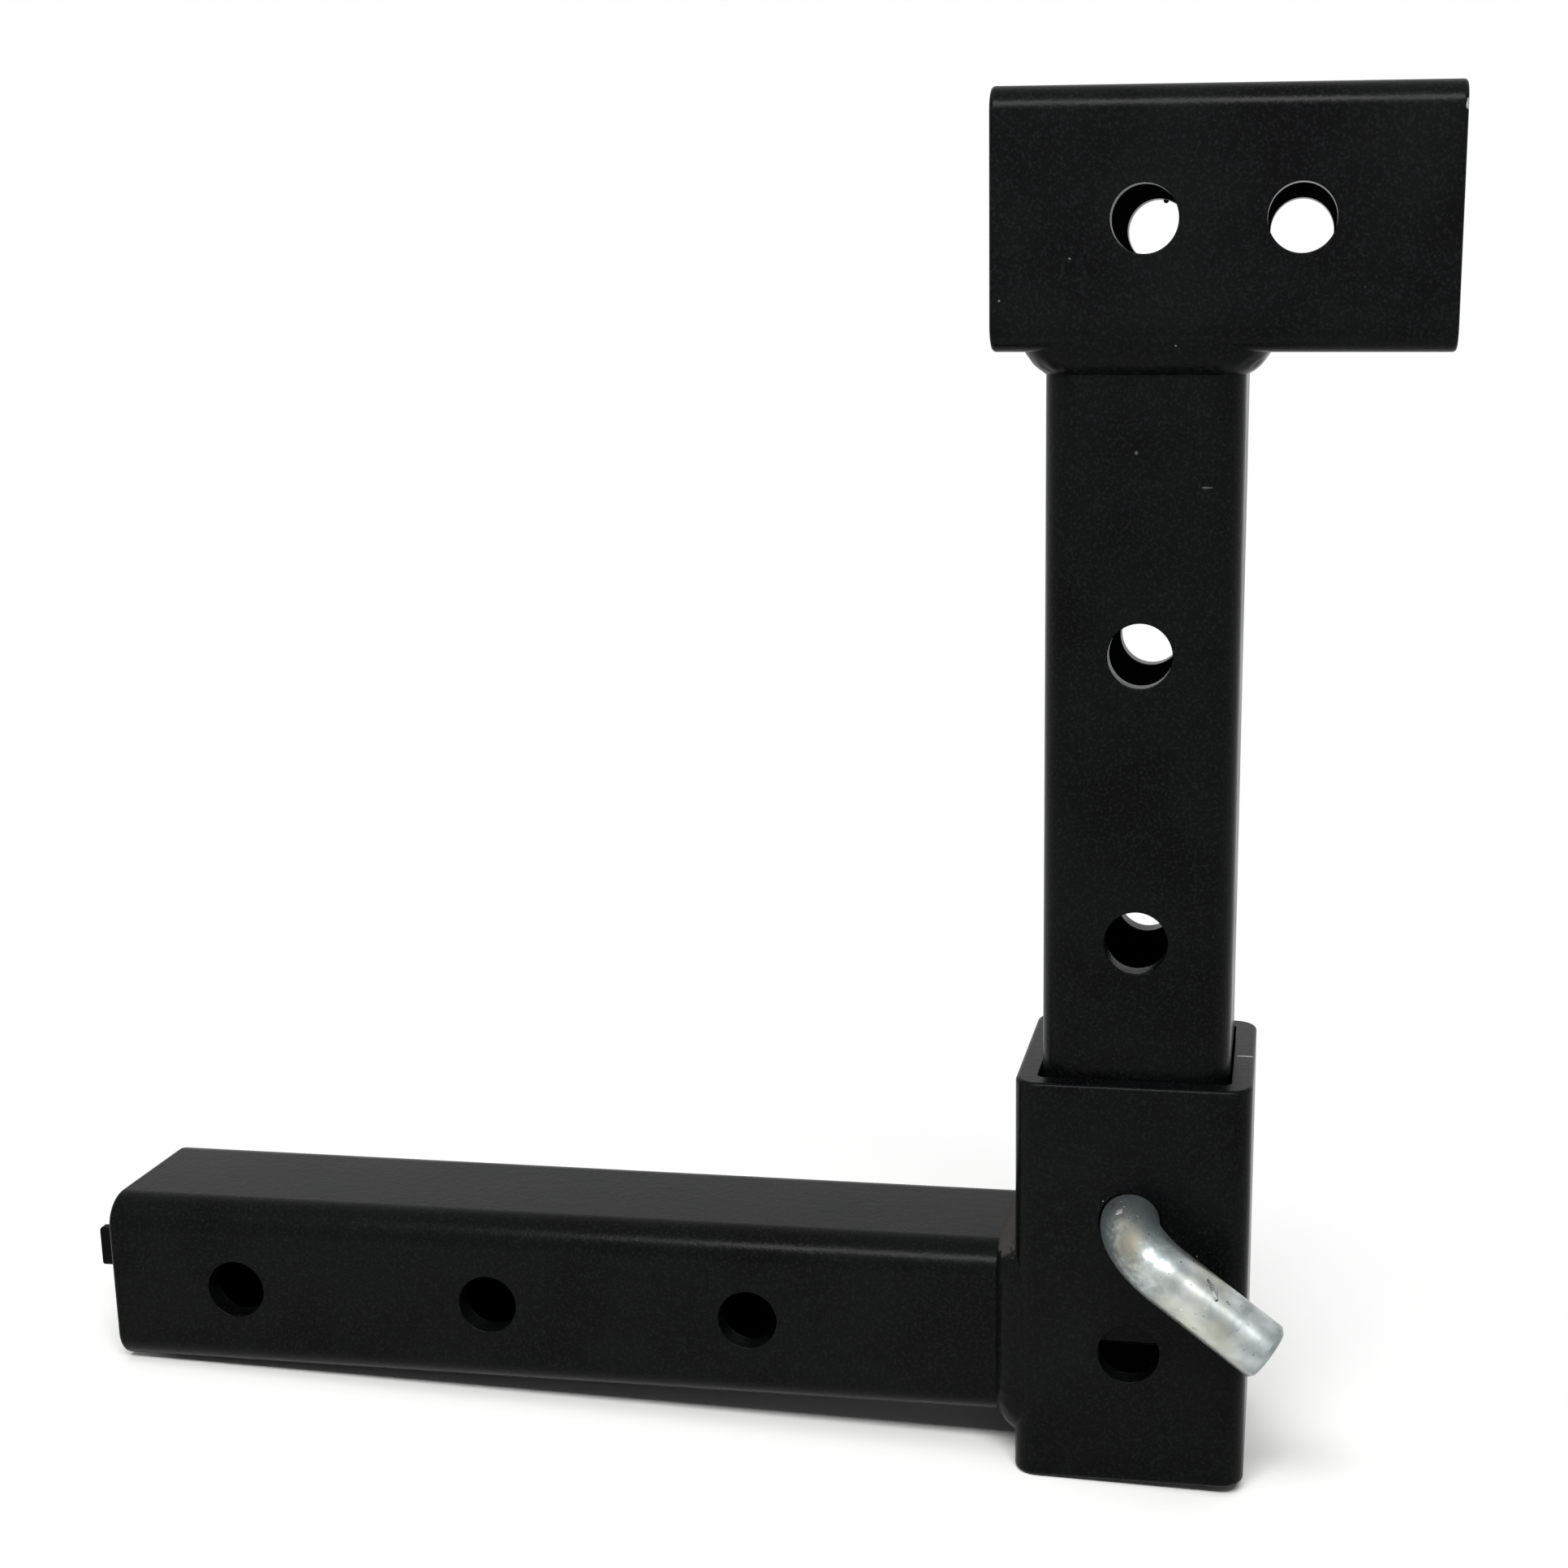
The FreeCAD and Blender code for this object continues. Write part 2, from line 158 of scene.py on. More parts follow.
def spot(tree, where, centre_mm, reach_mm, soft=CRISP):
    """A mask that is 1 inside an ellipsoid with a ragged edge and 0 outside it."""
    away = node(tree, "ShaderNodeVectorMath", {"operation": "SUBTRACT"}, in0=where,
                in1=Vector(centre_mm) * MM)
    scaled = node(tree, "ShaderNodeVectorMath", {"operation": "DIVIDE"}, in0=away,
                  in1=Vector(reach_mm) * MM)
    far = node(tree, "ShaderNodeVectorMath", {"operation": "LENGTH"}, in0=scaled)
    bite = node(tree, "ShaderNodeTexNoise", Vector=where, Scale=1 / RAGGED)
    edge = node(tree, "ShaderNodeMath", {"operation": "MULTIPLY_ADD"}, in0=bite, in1=BITE, in2=far)
    return node(tree, "ShaderNodeMapRange", Value=edge, From_Min=EDGE - soft / 2, From_Max=EDGE + soft / 2,
                To_Min=1.0, To_Max=0.0)


print(f"marks have edges that waver every {RAGGED / MM:.1f} mm")

# %% Mix the powder coat
CLOUD = 28 * MM
PEEL = 2.4 * MM
GRIT = 0.8 * MM  # real powder grains are a tenth of this, too fine for a picture of the whole hitch
DUST_APART = 9 * MM
NOISE_LOW = 0.35  # noise seldom leaves the range from here
NOISE_HIGH = 0.65  # to here
BLACK = "#040405"
BLACK_PALER = "#070808"
GRAIN_PALE = "#121314"
DUST_PALE = "#8b8c8a"
FILM_DEPTH = 0.05 * MM


def powder_coat(name, marks):
    """Satin black powder coat. Marks are places in mm that are chipped or dull, and what shows there."""
    material, tree = new_material(name)
    where = node(tree, "ShaderNodeTexCoord").outputs["Object"]
    cloud = node(tree, "ShaderNodeTexNoise", Vector=where, Scale=1 / CLOUD)
    peel = node(tree, "ShaderNodeTexNoise", Vector=where, Scale=1 / PEEL, Detail=1.0)
    grit = node(tree, "ShaderNodeTexNoise", Vector=where, Scale=1 / GRIT, Detail=1.0)

    # Deep black that shifts a little from cloud to cloud, with faintly paler grains.
    shift = node(tree, "ShaderNodeMapRange", Value=cloud, From_Min=NOISE_LOW, From_Max=NOISE_HIGH)
    colour = node(tree, "ShaderNodeMix", {"data_type": "RGBA"}, in0=shift, in6=linear(BLACK),
                  in7=linear(BLACK_PALER))
    paler = node(tree, "ShaderNodeMapRange", Value=grit, From_Min=0.50, From_Max=0.72, To_Max=0.8)
    colour = node(tree, "ShaderNodeMix", {"data_type": "RGBA"}, in0=paler, in6=colour, in7=linear(GRAIN_PALE))

    # Every fifth cell of a Voronoi pattern holds one grain of dust.
    cells = node(tree, "ShaderNodeTexVoronoi", Vector=where, Scale=1 / DUST_APART)
    grain = node(tree, "ShaderNodeMapRange", Value=cells, From_Min=0.022, From_Max=0.034, To_Min=1.0,
                 To_Max=0.0)
    lot = node(tree, "ShaderNodeSeparateColor", Color=cells.outputs["Color"])
    kept = node(tree, "ShaderNodeMapRange", Value=lot, From_Min=0.80, From_Max=0.82, To_Max=0.45)
    dust = node(tree, "ShaderNodeMath", {"operation": "MULTIPLY"}, in0=grain, in1=kept)
    colour = node(tree, "ShaderNodeMix", {"data_type": "RGBA"}, in0=dust, in6=colour, in7=linear(DUST_PALE))

    rough = node(tree, "ShaderNodeMapRange", Value=cloud, From_Min=NOISE_LOW, From_Max=NOISE_HIGH,
                 To_Min=0.25, To_Max=0.31)
    for centre, reach, shown, shown_rough in marks:
        mask = spot(tree, where, centre, reach)
        colour = node(tree, "ShaderNodeMix", {"data_type": "RGBA"}, in0=mask, in6=colour, in7=linear(shown))
        rough = node(tree, "ShaderNodeMix", {"data_type": "FLOAT"}, in0=mask, in2=rough, in3=shown_rough)

    film = node(tree, "ShaderNodeMath", {"operation": "MULTIPLY_ADD"}, in0=grit, in1=0.8, in2=peel)
    skin = node(tree, "ShaderNodeBump", Strength=0.9, Distance=FILM_DEPTH, Height=film)
    paint = node(tree, "ShaderNodeBsdfPrincipled", Base_Color=colour, Roughness=rough, IOR=1.5,
                 Specular_IOR_Level=0.056, Normal=skin)
    node(tree, "ShaderNodeOutputMaterial", Surface=paint)
    return material


print(f"film with a peel of {PEEL / MM:.1f} mm and a grain of dust every {DUST_APART / MM:.0f} mm or so")

# %% Coat the tubes and the welds
PRIMER = "#9a9c9b"
BARE_STEEL = "#b9bab8"
DULL_FILM = "#3a3835"
RUBBED = "#6e6f6e"
FAINT = "#404141"
tube_marks = [
    ((289.7, -1.4, 76.2), (3.4, 0.35, 0.6), BARE_STEEL, 0.45),
    ((336.3, -31.2, 323.6), (0.6, 0.9, 1.2), PRIMER, 0.50),
    ((258.7, -25.4, 241.6), (0.45, 0.4, 0.45), FAINT, 0.55),
    ((276.6, -25.4, 233.1), (1.3, 0.4, 0.25), FAINT, 0.55),
    ((253.0, -31.75, 43.9), (0.2, 0.4, 0.2), RUBBED, 0.45),
]
weld_marks = [
    ((226.0, -6.0, 27.6), (4.5, 26.0, 5.0), DULL_FILM, 0.72),
]
coat = powder_coat("satin_black_powder_coat_on_steel_tube", tube_marks)
weld_coat = powder_coat("satin_black_powder_coat_over_weld_bead", weld_marks)
print("mixed:", coat.name, "and", weld_coat.name)

# %% [markdown]
# ## The drilled tube as a rule
# Shank, post, sleeve and head differ only in a few numbers, so one Geometry Nodes tree makes all four.
# It sweeps a round-cornered square, takes a narrower one out of it and drills a row of holes.
# Four meshes by hand would also do, but one rule can't disagree with itself.

# %% Draw the tree for a drilled tube
def new_tree(name, inputs):
    """An empty Geometry Nodes tree with named inputs, and the sockets that bring them in."""
    tree = bpy.data.node_groups.new(name, "GeometryNodeTree")
    for label, kind in inputs.items():
        tree.interface.new_socket(label, in_out="INPUT", socket_type=f"NodeSocket{kind}")
    tree.interface.new_socket("Geometry", in_out="OUTPUT", socket_type="NodeSocketGeometry")
    return tree, node(tree, "NodeGroupInput").outputs


def end_tree(tree, shape, material):
    """Ends a tree as every tree here ends: no instances left, and one material."""
    real = node(tree, "GeometryNodeRealizeInstances", Geometry=shape)
    dressed = node(tree, "GeometryNodeSetMaterial", Geometry=real, Material=material)
    node(tree, "NodeGroupOutput", in0=dressed)


def swept_square(tree, side, corner, start, end):
    """A round-cornered square swept along Z between two points."""
    square = node(tree, "GeometryNodeCurvePrimitiveQuadrilateral", Width=side, Height=side)
    rounded = node(tree, "GeometryNodeFilletCurve", {"mode": "POLY"}, Curve=square, Count=CORNER_STEPS,
                   Radius=corner)
    line = node(tree, "GeometryNodeCurvePrimitiveLine", Start=start, End=end)
    return node(tree, "GeometryNodeCurveToMesh", Curve=line, Profile_Curve=rounded, Fill_Caps=True)


CORNER_STEPS = 14
HOLE_STEPS = 80
CUT_THROUGH = 5 * MM
tube_inputs = {"Side": "Float", "Corner": "Float", "Inside": "Float", "Inside corner": "Float",
               "Length": "Float", "First hole": "Float", "Hole pitch": "Float", "Hole count": "Int",
               "Hole diameter": "Float", "Turn": "Vector", "Place": "Vector", "Material": "Material"}
drilled_tube, given = new_tree("drilled_square_tube", tube_inputs)
top = node(drilled_tube, "ShaderNodeCombineXYZ", Z=given["Length"])
beyond = node(drilled_tube, "ShaderNodeMath", {"operation": "ADD"}, in0=given["Length"],
              in1=CUT_THROUGH)
over = node(drilled_tube, "ShaderNodeCombineXYZ", Z=beyond)
body = swept_square(drilled_tube, given["Side"], given["Corner"], (0, 0, 0), top)
core = swept_square(drilled_tube, given["Inside"], given["Inside corner"], (0, 0, -CUT_THROUGH), over)
first = node(drilled_tube, "ShaderNodeCombineXYZ", Z=given["First hole"])
step = node(drilled_tube, "ShaderNodeCombineXYZ", Z=given["Hole pitch"])
row = node(drilled_tube, "GeometryNodeMeshLine", {"mode": "OFFSET"}, Count=given["Hole count"],
           Start_Location=first, Offset=step)
radius = node(drilled_tube, "ShaderNodeMath", {"operation": "DIVIDE"}, in0=given["Hole diameter"],
              in1=2.0)
through = node(drilled_tube, "ShaderNodeMath", {"operation": "ADD"}, in0=given["Side"],
               in1=2 * CUT_THROUGH)
drill = node(drilled_tube, "GeometryNodeMeshCylinder", Vertices=HOLE_STEPS, Radius=radius,
             Depth=through)
drills = node(drilled_tube, "GeometryNodeInstanceOnPoints", Points=row, Instance=drill,
              Rotation=(math.pi / 2, 0, 0))
cutters = node(drilled_tube, "GeometryNodeRealizeInstances", Geometry=drills)
cut = node(drilled_tube, "GeometryNodeMeshBoolean", {"operation": "DIFFERENCE", "solver": "EXACT"},
           Mesh_1=body, Mesh_2=[core, cutters])
turned = node(drilled_tube, "GeometryNodeTransform", Geometry=cut, Rotation=given["Turn"],
              Translation=given["Place"])
end_tree(drilled_tube, turned, given["Material"])
print(f"{drilled_tube.name}: {len(drilled_tube.nodes)} nodes")

# %% [markdown]
# ## From tree to mesh
# A tree's result is kept as a plain mesh, because the piece is posed as one.
# The tree leaves knife-sharp rims. Real rims are broken by a file and rounded again by the paint, and
# that thin round is what draws a bright line around a hole, so a Bevel modifier adds it by edge weight.

# %% Keep and round a mesh
RIM_ANGLE = math.radians(40)
FLAT_ANGLE = math.radians(0.2)
MERGED = 1e-6
RIM_SEGMENTS = 3


def plain(obj):
    """Replaces an object's mesh by what its modifiers make of it, and drops the modifiers."""
    graph = bpy.context.evaluated_depsgraph_get()
    made = bpy.data.meshes.new_from_object(obj.evaluated_get(graph))
    made.name = obj.name
    obj.modifiers.clear()
    obj.data = made
    return obj


def grown(name, tree, sizes):
    """Runs a tree with the given sizes and keeps the result as a plain mesh at the origin."""
    obj = bpy.data.objects.new(name, bpy.data.meshes.new(name))
    bpy.context.scene.collection.objects.link(obj)
    grower = obj.modifiers.new("grow", "NODES")
    grower.node_group = tree
    named = {item.name: item.identifier for item in tree.interface.items_tree if item.in_out == "INPUT"}
    for label, value in sizes.items():
        grower[named[label]] = value
    plain(obj)
    obj.data.materials.clear()  # a Boolean leaves an empty slot before the tree's own
    obj.data.materials.append(sizes["Material"])
    return obj


def rounded(obj, width, weigh=None):
    """Rounds every sharp edge of a piece. weigh says what share of the width an edge gets."""
    shape = bmesh.new()
    shape.from_mesh(obj.data)
    bmesh.ops.remove_doubles(shape, verts=shape.verts, dist=MERGED)
    bmesh.ops.dissolve_limit(shape, angle_limit=FLAT_ANGLE, verts=shape.verts, edges=shape.edges)
    share = shape.edges.layers.float.new("bevel_weight_edge")
    closed = [edge for edge in shape.edges if len(edge.link_faces) == 2]
    sharp = [edge for edge in closed if edge.calc_face_angle() > RIM_ANGLE]
    for edge in sharp:
        edge[share] = weigh(edge) if weigh else 1.0
    for face in shape.faces:
        face.smooth = True
    shape.to_mesh(obj.data)
    shape.free()
    bevel = obj.modifiers.new("rim", "BEVEL")
    bevel.limit_method = "WEIGHT"
    bevel.width = width
    bevel.segments = RIM_SEGMENTS
    bevel.use_clamp_overlap = False
    even = obj.modifiers.new("even", "WEIGHTED_NORMAL")
    even.keep_sharp = True
    plain(obj)
    print(f"{obj.name}: {len(sharp)} rim edges rounded, {len(obj.data.polygons)} faces")


print(f"edges sharper than {math.degrees(RIM_ANGLE):.0f} degrees count as rims")

# %% [markdown]
# ## Shank and post
# Both are cut from the same 2 inch tube. Its cut ends were deburred more than its holes, so the outer
# end rims get the full round and all other rims a third of it.

# %% Make the shank and the post
END_ROUND = 1.0 * MM
HOLE_SHARE = 0.35
NEAR = 0.1 * MM
CORNER_REACH = 1.15


def end_rims(low, high, axis, half):
    """Weighs the rims of a tube that runs along an axis: full at the outer end rims, less elsewhere."""
    def weigh(edge):
        middle = (edge.verts[0].co + edge.verts[1].co) / 2
        at_end = min(abs(middle[axis] - low[axis]), abs(middle[axis] - high[axis])) < NEAR
        off_axis = middle - (low + high) / 2
        off_axis[axis] = 0
        outside = max(map(abs, off_axis)) > half - NEAR or off_axis.length > CORNER_REACH * half
        return 1.0 if at_end and outside else HOLE_SHARE
    return weigh


ALONG_X = (0, math.pi / 2, 0)
UPRIGHT = (0, 0, 0)
inch_tube = {"Side": tube_side, "Corner": tube_corner, "Inside": tube_side - 2 * tube_wall,
             "Inside corner": tube_corner - tube_wall, "First hole": tube_first_hole,
             "Hole pitch": tube_hole_pitch, "Hole count": 3, "Hole diameter": hole_diameter,
             "Material": coat}
post_axis = (post_low + post_high) / 2
shank = grown("shank", drilled_tube, inch_tube | {
    "Length": shank_high.x - shank_low.x, "Turn": ALONG_X, "Place": (shank_low.x, 0, 0)})
post = grown("post", drilled_tube, inch_tube | {
    "Length": post_high.z - post_low.z, "Turn": UPRIGHT, "Place": (post_axis.x, 0, post_low.z)})
rounded(shank, END_ROUND, end_rims(shank_low, shank_high, 0, tube_side / 2))
rounded(post, END_ROUND, end_rims(post_low, post_high, 2, tube_side / 2))

# %% [markdown]
# ## Sleeve and head
# Both are cut from the wider receiver tube, whose bore takes the 2 inch tube with half a millimetre to
# spare. The same tree makes them with other numbers.

# %% Make the sleeve and the head
receiver_tube = {"Side": receiver_side, "Corner": receiver_corner, "Inside": bore_side,
                 "Inside corner": bore_corner, "First hole": receiver_first_hole,
                 "Hole pitch": receiver_hole_pitch, "Hole count": 2, "Hole diameter": hole_diameter,
                 "Material": coat}
head_axis = (head_low + head_high) / 2
sleeve = grown("sleeve", drilled_tube, receiver_tube | {
    "Length": sleeve_high.z - sleeve_low.z, "Turn": UPRIGHT, "Place": (post_axis.x, 0, sleeve_low.z)})
head = grown("head", drilled_tube, receiver_tube | {
    "Length": head_high.x - head_low.x, "Turn": ALONG_X, "Place": (head_low.x, 0, head_axis.z)})
rounded(sleeve, END_ROUND, end_rims(sleeve_low, sleeve_high, 2, receiver_side / 2))
rounded(head, END_ROUND, end_rims(head_low, head_high, 0, receiver_side / 2))

# %% [markdown]
# ## A burr
# The drill left a burr on a far rim of the head, and the paint made a drop of it. It shows against the
# light in the left hole. A small ball that is half sunk in the rim is enough for it.

# %% Add the burr
BURR_MM = (261.9, 30.8, 306.3)
BURR_RADIUS = 0.75 * MM
burr = bmesh.new()
burr.from_mesh(head.data)
drop_place = Matrix.Translation(Vector(BURR_MM) * MM)
made = bmesh.ops.create_icosphere(burr, subdivisions=3, radius=BURR_RADIUS, matrix=drop_place)
for vert in made["verts"]:
    for face in vert.link_faces:
        face.smooth = True
burr.to_mesh(head.data)
burr.free()
print(f"burr of {len(made['verts'])} points on the head")

# %% [markdown]
# ## Weld beads
# A fillet weld runs all round each joint. The welder lays it in small overlapping puddles, and each
# freezes as a ripple across the bead. A modelled chain of puddles would look stiff. Instead a section is
# swept along the seam, and a tree then moves the points of that sweep by rule.

# %% Start the tree for a weld bead with its sweep
SEAM_STEP = 0.6 * MM
SEAM_CORNER_STEPS = 24
SECTION_STEP = 0.45 * MM
TOE = -0.25 * MM
BURIED = 1.0 * MM
BURIED_END = 3.0 * MM
weld_inputs = {"Tube side": "Float", "Tube corner": "Float", "Leg": "Float", "Wall flat": "Float",
               "Wall corner": "Float", "Ripple pitch": "Float", "Ripple height": "Float",
               "Waver": "Float", "Hollow": "Float", "Turn": "Vector", "Place": "Vector",
               "Material": "Material"}
weld_bead, given = new_tree("weld_bead", weld_inputs)

# The seam: the tube's outline, with the distance along it kept for the ripples.
square = node(weld_bead, "GeometryNodeCurvePrimitiveQuadrilateral", Width=given["Tube side"],
              Height=given["Tube side"])
outline = node(weld_bead, "GeometryNodeFilletCurve", {"mode": "POLY"}, Curve=square,
               Count=SEAM_CORNER_STEPS, Radius=given["Tube corner"])
seam = node(weld_bead, "GeometryNodeResampleCurve", {"mode": "LENGTH"}, Curve=outline,
            Length=SEAM_STEP)
seam_kept = node(weld_bead, "GeometryNodeCaptureAttribute", {"domain": "POINT"}, Geometry=seam)
seam_kept.capture_items.new("FLOAT", "Along")
distance = node(weld_bead, "GeometryNodeSplineParameter").outputs["Length"]
weld_bead.links.new(distance, seam_kept.inputs["Along"])

# The section: a triangle that starts just inside both tubes, so its toes run out and no gap shows.
toe_on_tube = node(weld_bead, "ShaderNodeCombineXYZ", X=TOE, Y=given["Leg"])
toe_on_wall = node(weld_bead, "ShaderNodeCombineXYZ", X=given["Leg"], Y=TOE)
section = node(weld_bead, "GeometryNodeCurvePrimitiveQuadrilateral", {"mode": "POINTS"},
               Point_1=toe_on_tube, Point_2=toe_on_wall, Point_3=(BURIED_END, -BURIED_END, 0),
               Point_4=(-BURIED, BURIED, 0))
fine = node(weld_bead, "GeometryNodeResampleCurve", {"mode": "LENGTH"}, Curve=section,
            Length=SECTION_STEP)
section_kept = node(weld_bead, "GeometryNodeCaptureAttribute", {"domain": "POINT"}, Geometry=fine)
section_kept.capture_items.new("VECTOR", "Across")
flat_place = node(weld_bead, "GeometryNodeInputPosition").outputs["Position"]
weld_bead.links.new(flat_place, section_kept.inputs["Across"])
sweep = node(weld_bead, "GeometryNodeCurveToMesh", Curve=seam_kept.outputs["Geometry"],
             Profile_Curve=section_kept.outputs["Geometry"])
print(f"a point every {SEAM_STEP / MM:.1f} mm along the seam, {SECTION_STEP / MM:.2f} mm across it")

# %% [markdown]
# ## The bead's sag
# On two sides of the joint the receiver tube rounds away under the bead, and the bead sags after it. The
# further a point has climbed from the tube to the wall, the more of the wall's drop it follows.

# %% Let the bead sag after the wall
across = node(weld_bead, "ShaderNodeSeparateXYZ", Vector=section_kept.outputs["Across"])
climb = node(weld_bead, "ShaderNodeMapRange", Value=across.outputs["Y"], From_Min=given["Leg"],
             From_Max=0.0)
place = node(weld_bead, "GeometryNodeInputPosition")
sideways = node(weld_bead, "ShaderNodeSeparateXYZ", Vector=place)
off_middle = node(weld_bead, "ShaderNodeMath", {"operation": "ABSOLUTE"}, in0=sideways.outputs["Y"])
wall_end = node(weld_bead, "ShaderNodeMath", {"operation": "ADD"}, in0=given["Wall flat"],
                in1=given["Wall corner"])
past_flat = node(weld_bead, "ShaderNodeMapRange", Value=off_middle, From_Min=given["Wall flat"],
                 From_Max=wall_end)
tilt = node(weld_bead, "ShaderNodeMath", {"operation": "ARCSINE"}, in0=past_flat)
lean = node(weld_bead, "ShaderNodeMath", {"operation": "COSINE"}, in0=tilt)
drop = node(weld_bead, "ShaderNodeMapRange", Value=lean, From_Min=1.0, From_Max=0.0,
            To_Max=given["Wall corner"])
sag = node(weld_bead, "ShaderNodeMath", {"operation": "MULTIPLY"}, in0=drop, in1=climb)
sagged = node(weld_bead, "ShaderNodeCombineXYZ", Z=sag)
print(f"the wall drops by up to {receiver_corner / MM:.2f} mm under the bead")

# %% [markdown]
# ## The bead's face
# The face is a little hollow in its middle and wavers with the welder's hand. Its ripples bow towards the
# weld's start, because the middle of a puddle freezes last. All three fade out at the toes.

# %% Ripple the face and end the tree
WAVER_SIZE = 9 * MM
RIPPLE_PEAK = 0.5
half_turn = node(weld_bead, "ShaderNodeMath", {"operation": "MULTIPLY"}, in0=climb, in1=math.pi)
middle = node(weld_bead, "ShaderNodeMath", {"operation": "SINE"}, in0=half_turn)
run = node(weld_bead, "ShaderNodeMath", {"operation": "DIVIDE"}, in0=seam_kept.outputs["Along"],
           in1=given["Ripple pitch"])
bowed = node(weld_bead, "ShaderNodeMath", {"operation": "ADD"}, in0=run, in1=middle)
swing = node(weld_bead, "ShaderNodeMath", {"operation": "PINGPONG"}, in0=bowed, in1=RIPPLE_PEAK)
ripple = node(weld_bead, "ShaderNodeMapRange", {"interpolation_type": "SMOOTHSTEP"}, Value=swing,
              From_Max=RIPPLE_PEAK, To_Max=given["Ripple height"])
lumps = node(weld_bead, "ShaderNodeTexNoise", Vector=place, Scale=1 / WAVER_SIZE)
waver = node(weld_bead, "ShaderNodeMath", {"operation": "MULTIPLY_ADD"}, in0=lumps, in1=given["Waver"],
             in2=ripple)
rise = node(weld_bead, "ShaderNodeMath", {"operation": "SUBTRACT"}, in0=waver, in1=given["Hollow"])
inside = node(weld_bead, "ShaderNodeMath", {"operation": "MULTIPLY"}, in0=rise, in1=middle)
outward = node(weld_bead, "GeometryNodeInputNormal")
swell = node(weld_bead, "ShaderNodeVectorMath", {"operation": "SCALE"}, in0=outward, Scale=inside)
moved = node(weld_bead, "ShaderNodeVectorMath", {"operation": "ADD"}, in0=sagged, in1=swell)
shaped = node(weld_bead, "GeometryNodeSetPosition", Geometry=sweep, Offset=moved)
laid = node(weld_bead, "GeometryNodeTransform", Geometry=shaped, Rotation=given["Turn"],
            Translation=given["Place"])
end_tree(weld_bead, laid, given["Material"])
print(f"{weld_bead.name}: {len(weld_bead.nodes)} nodes")

# %% [markdown]
# ## Two beads
# One bead joins the shank to the sleeve and the other the post to the head. Both are the same joint, so
# both take the same sizes, and only the place and the turn differ.

# %% Lay the two beads
bead = {"Tube side": tube_side, "Tube corner": tube_corner, "Leg": 5.7 * MM,
        "Wall corner": receiver_corner, "Wall flat": receiver_side / 2 - receiver_corner,
        "Ripple pitch": 3.4 * MM, "Ripple height": 0.12 * MM, "Waver": 0.7 * MM, "Hollow": 0.95 * MM,
        "Material": weld_coat}
shank_bead = grown("shank_bead", weld_bead, bead | {"Turn": ALONG_X, "Place": (shank_high.x, 0, 0)})
head_bead = grown("head_bead", weld_bead, bead | {
    "Turn": UPRIGHT, "Place": (post_axis.x, 0, post_high.z)})
for laid_bead in (shank_bead, head_bead):
    closed = bmesh.new()
    closed.from_mesh(laid_bead.data)
    bmesh.ops.recalc_face_normals(closed, faces=closed.faces)
    for face in closed.faces:
        face.smooth = True
    closed.to_mesh(laid_bead.data)
    open_edges = sum(1 for edge in closed.edges if len(edge.link_faces) != 2)
    closed.free()
    corners = np.array([v.co for v in laid_bead.data.vertices]) / MM
    print(f"{laid_bead.name}: from {corners.min(0).round(1)} to {corners.max(0).round(1)} mm")
    print(f"{laid_bead.name}: {open_edges} open edges")

# %% [markdown]
# ## Zinc plate
# The pin is drawn steel rod, bent cold, then plated with bright zinc. That gives a light metal with a
# faint yellow-green passivation, fine lines along the rod from drawing, duller grey mottling where the
# bend stretched the steel, darkened further by a painted reflection of the black sleeve, small pale
# scuffs and a nick darkened with painted shade. The lines follow the rod, so they use its own UV map, and
# the dull, darkened bend uses an attribute that the rod's mesh carries.

# %% Mix the zinc plate
MOTTLE = 9 * MM
FLECK = 1.5 * MM
TINT = 16 * MM
DRAWN_APART = 0.5 * MM  # drawing lines are finer still, but these are the finest that show
DRAWN_LENGTH = 22 * MM
ZINC = "#c4c9c8"
ZINC_GREYER = "#868d8e"
ZINC_YELLOWER = "#aeae92"
# the bend's grey: partly dull zinc, partly a painted reflection of the black sleeve
ZINC_DULL_AND_PAINTED_REFLECTION = "#606a6c"
SCUFF = "#d8dad8"
PIT = "#454a48"
PLATE_DEPTH = 0.04 * MM


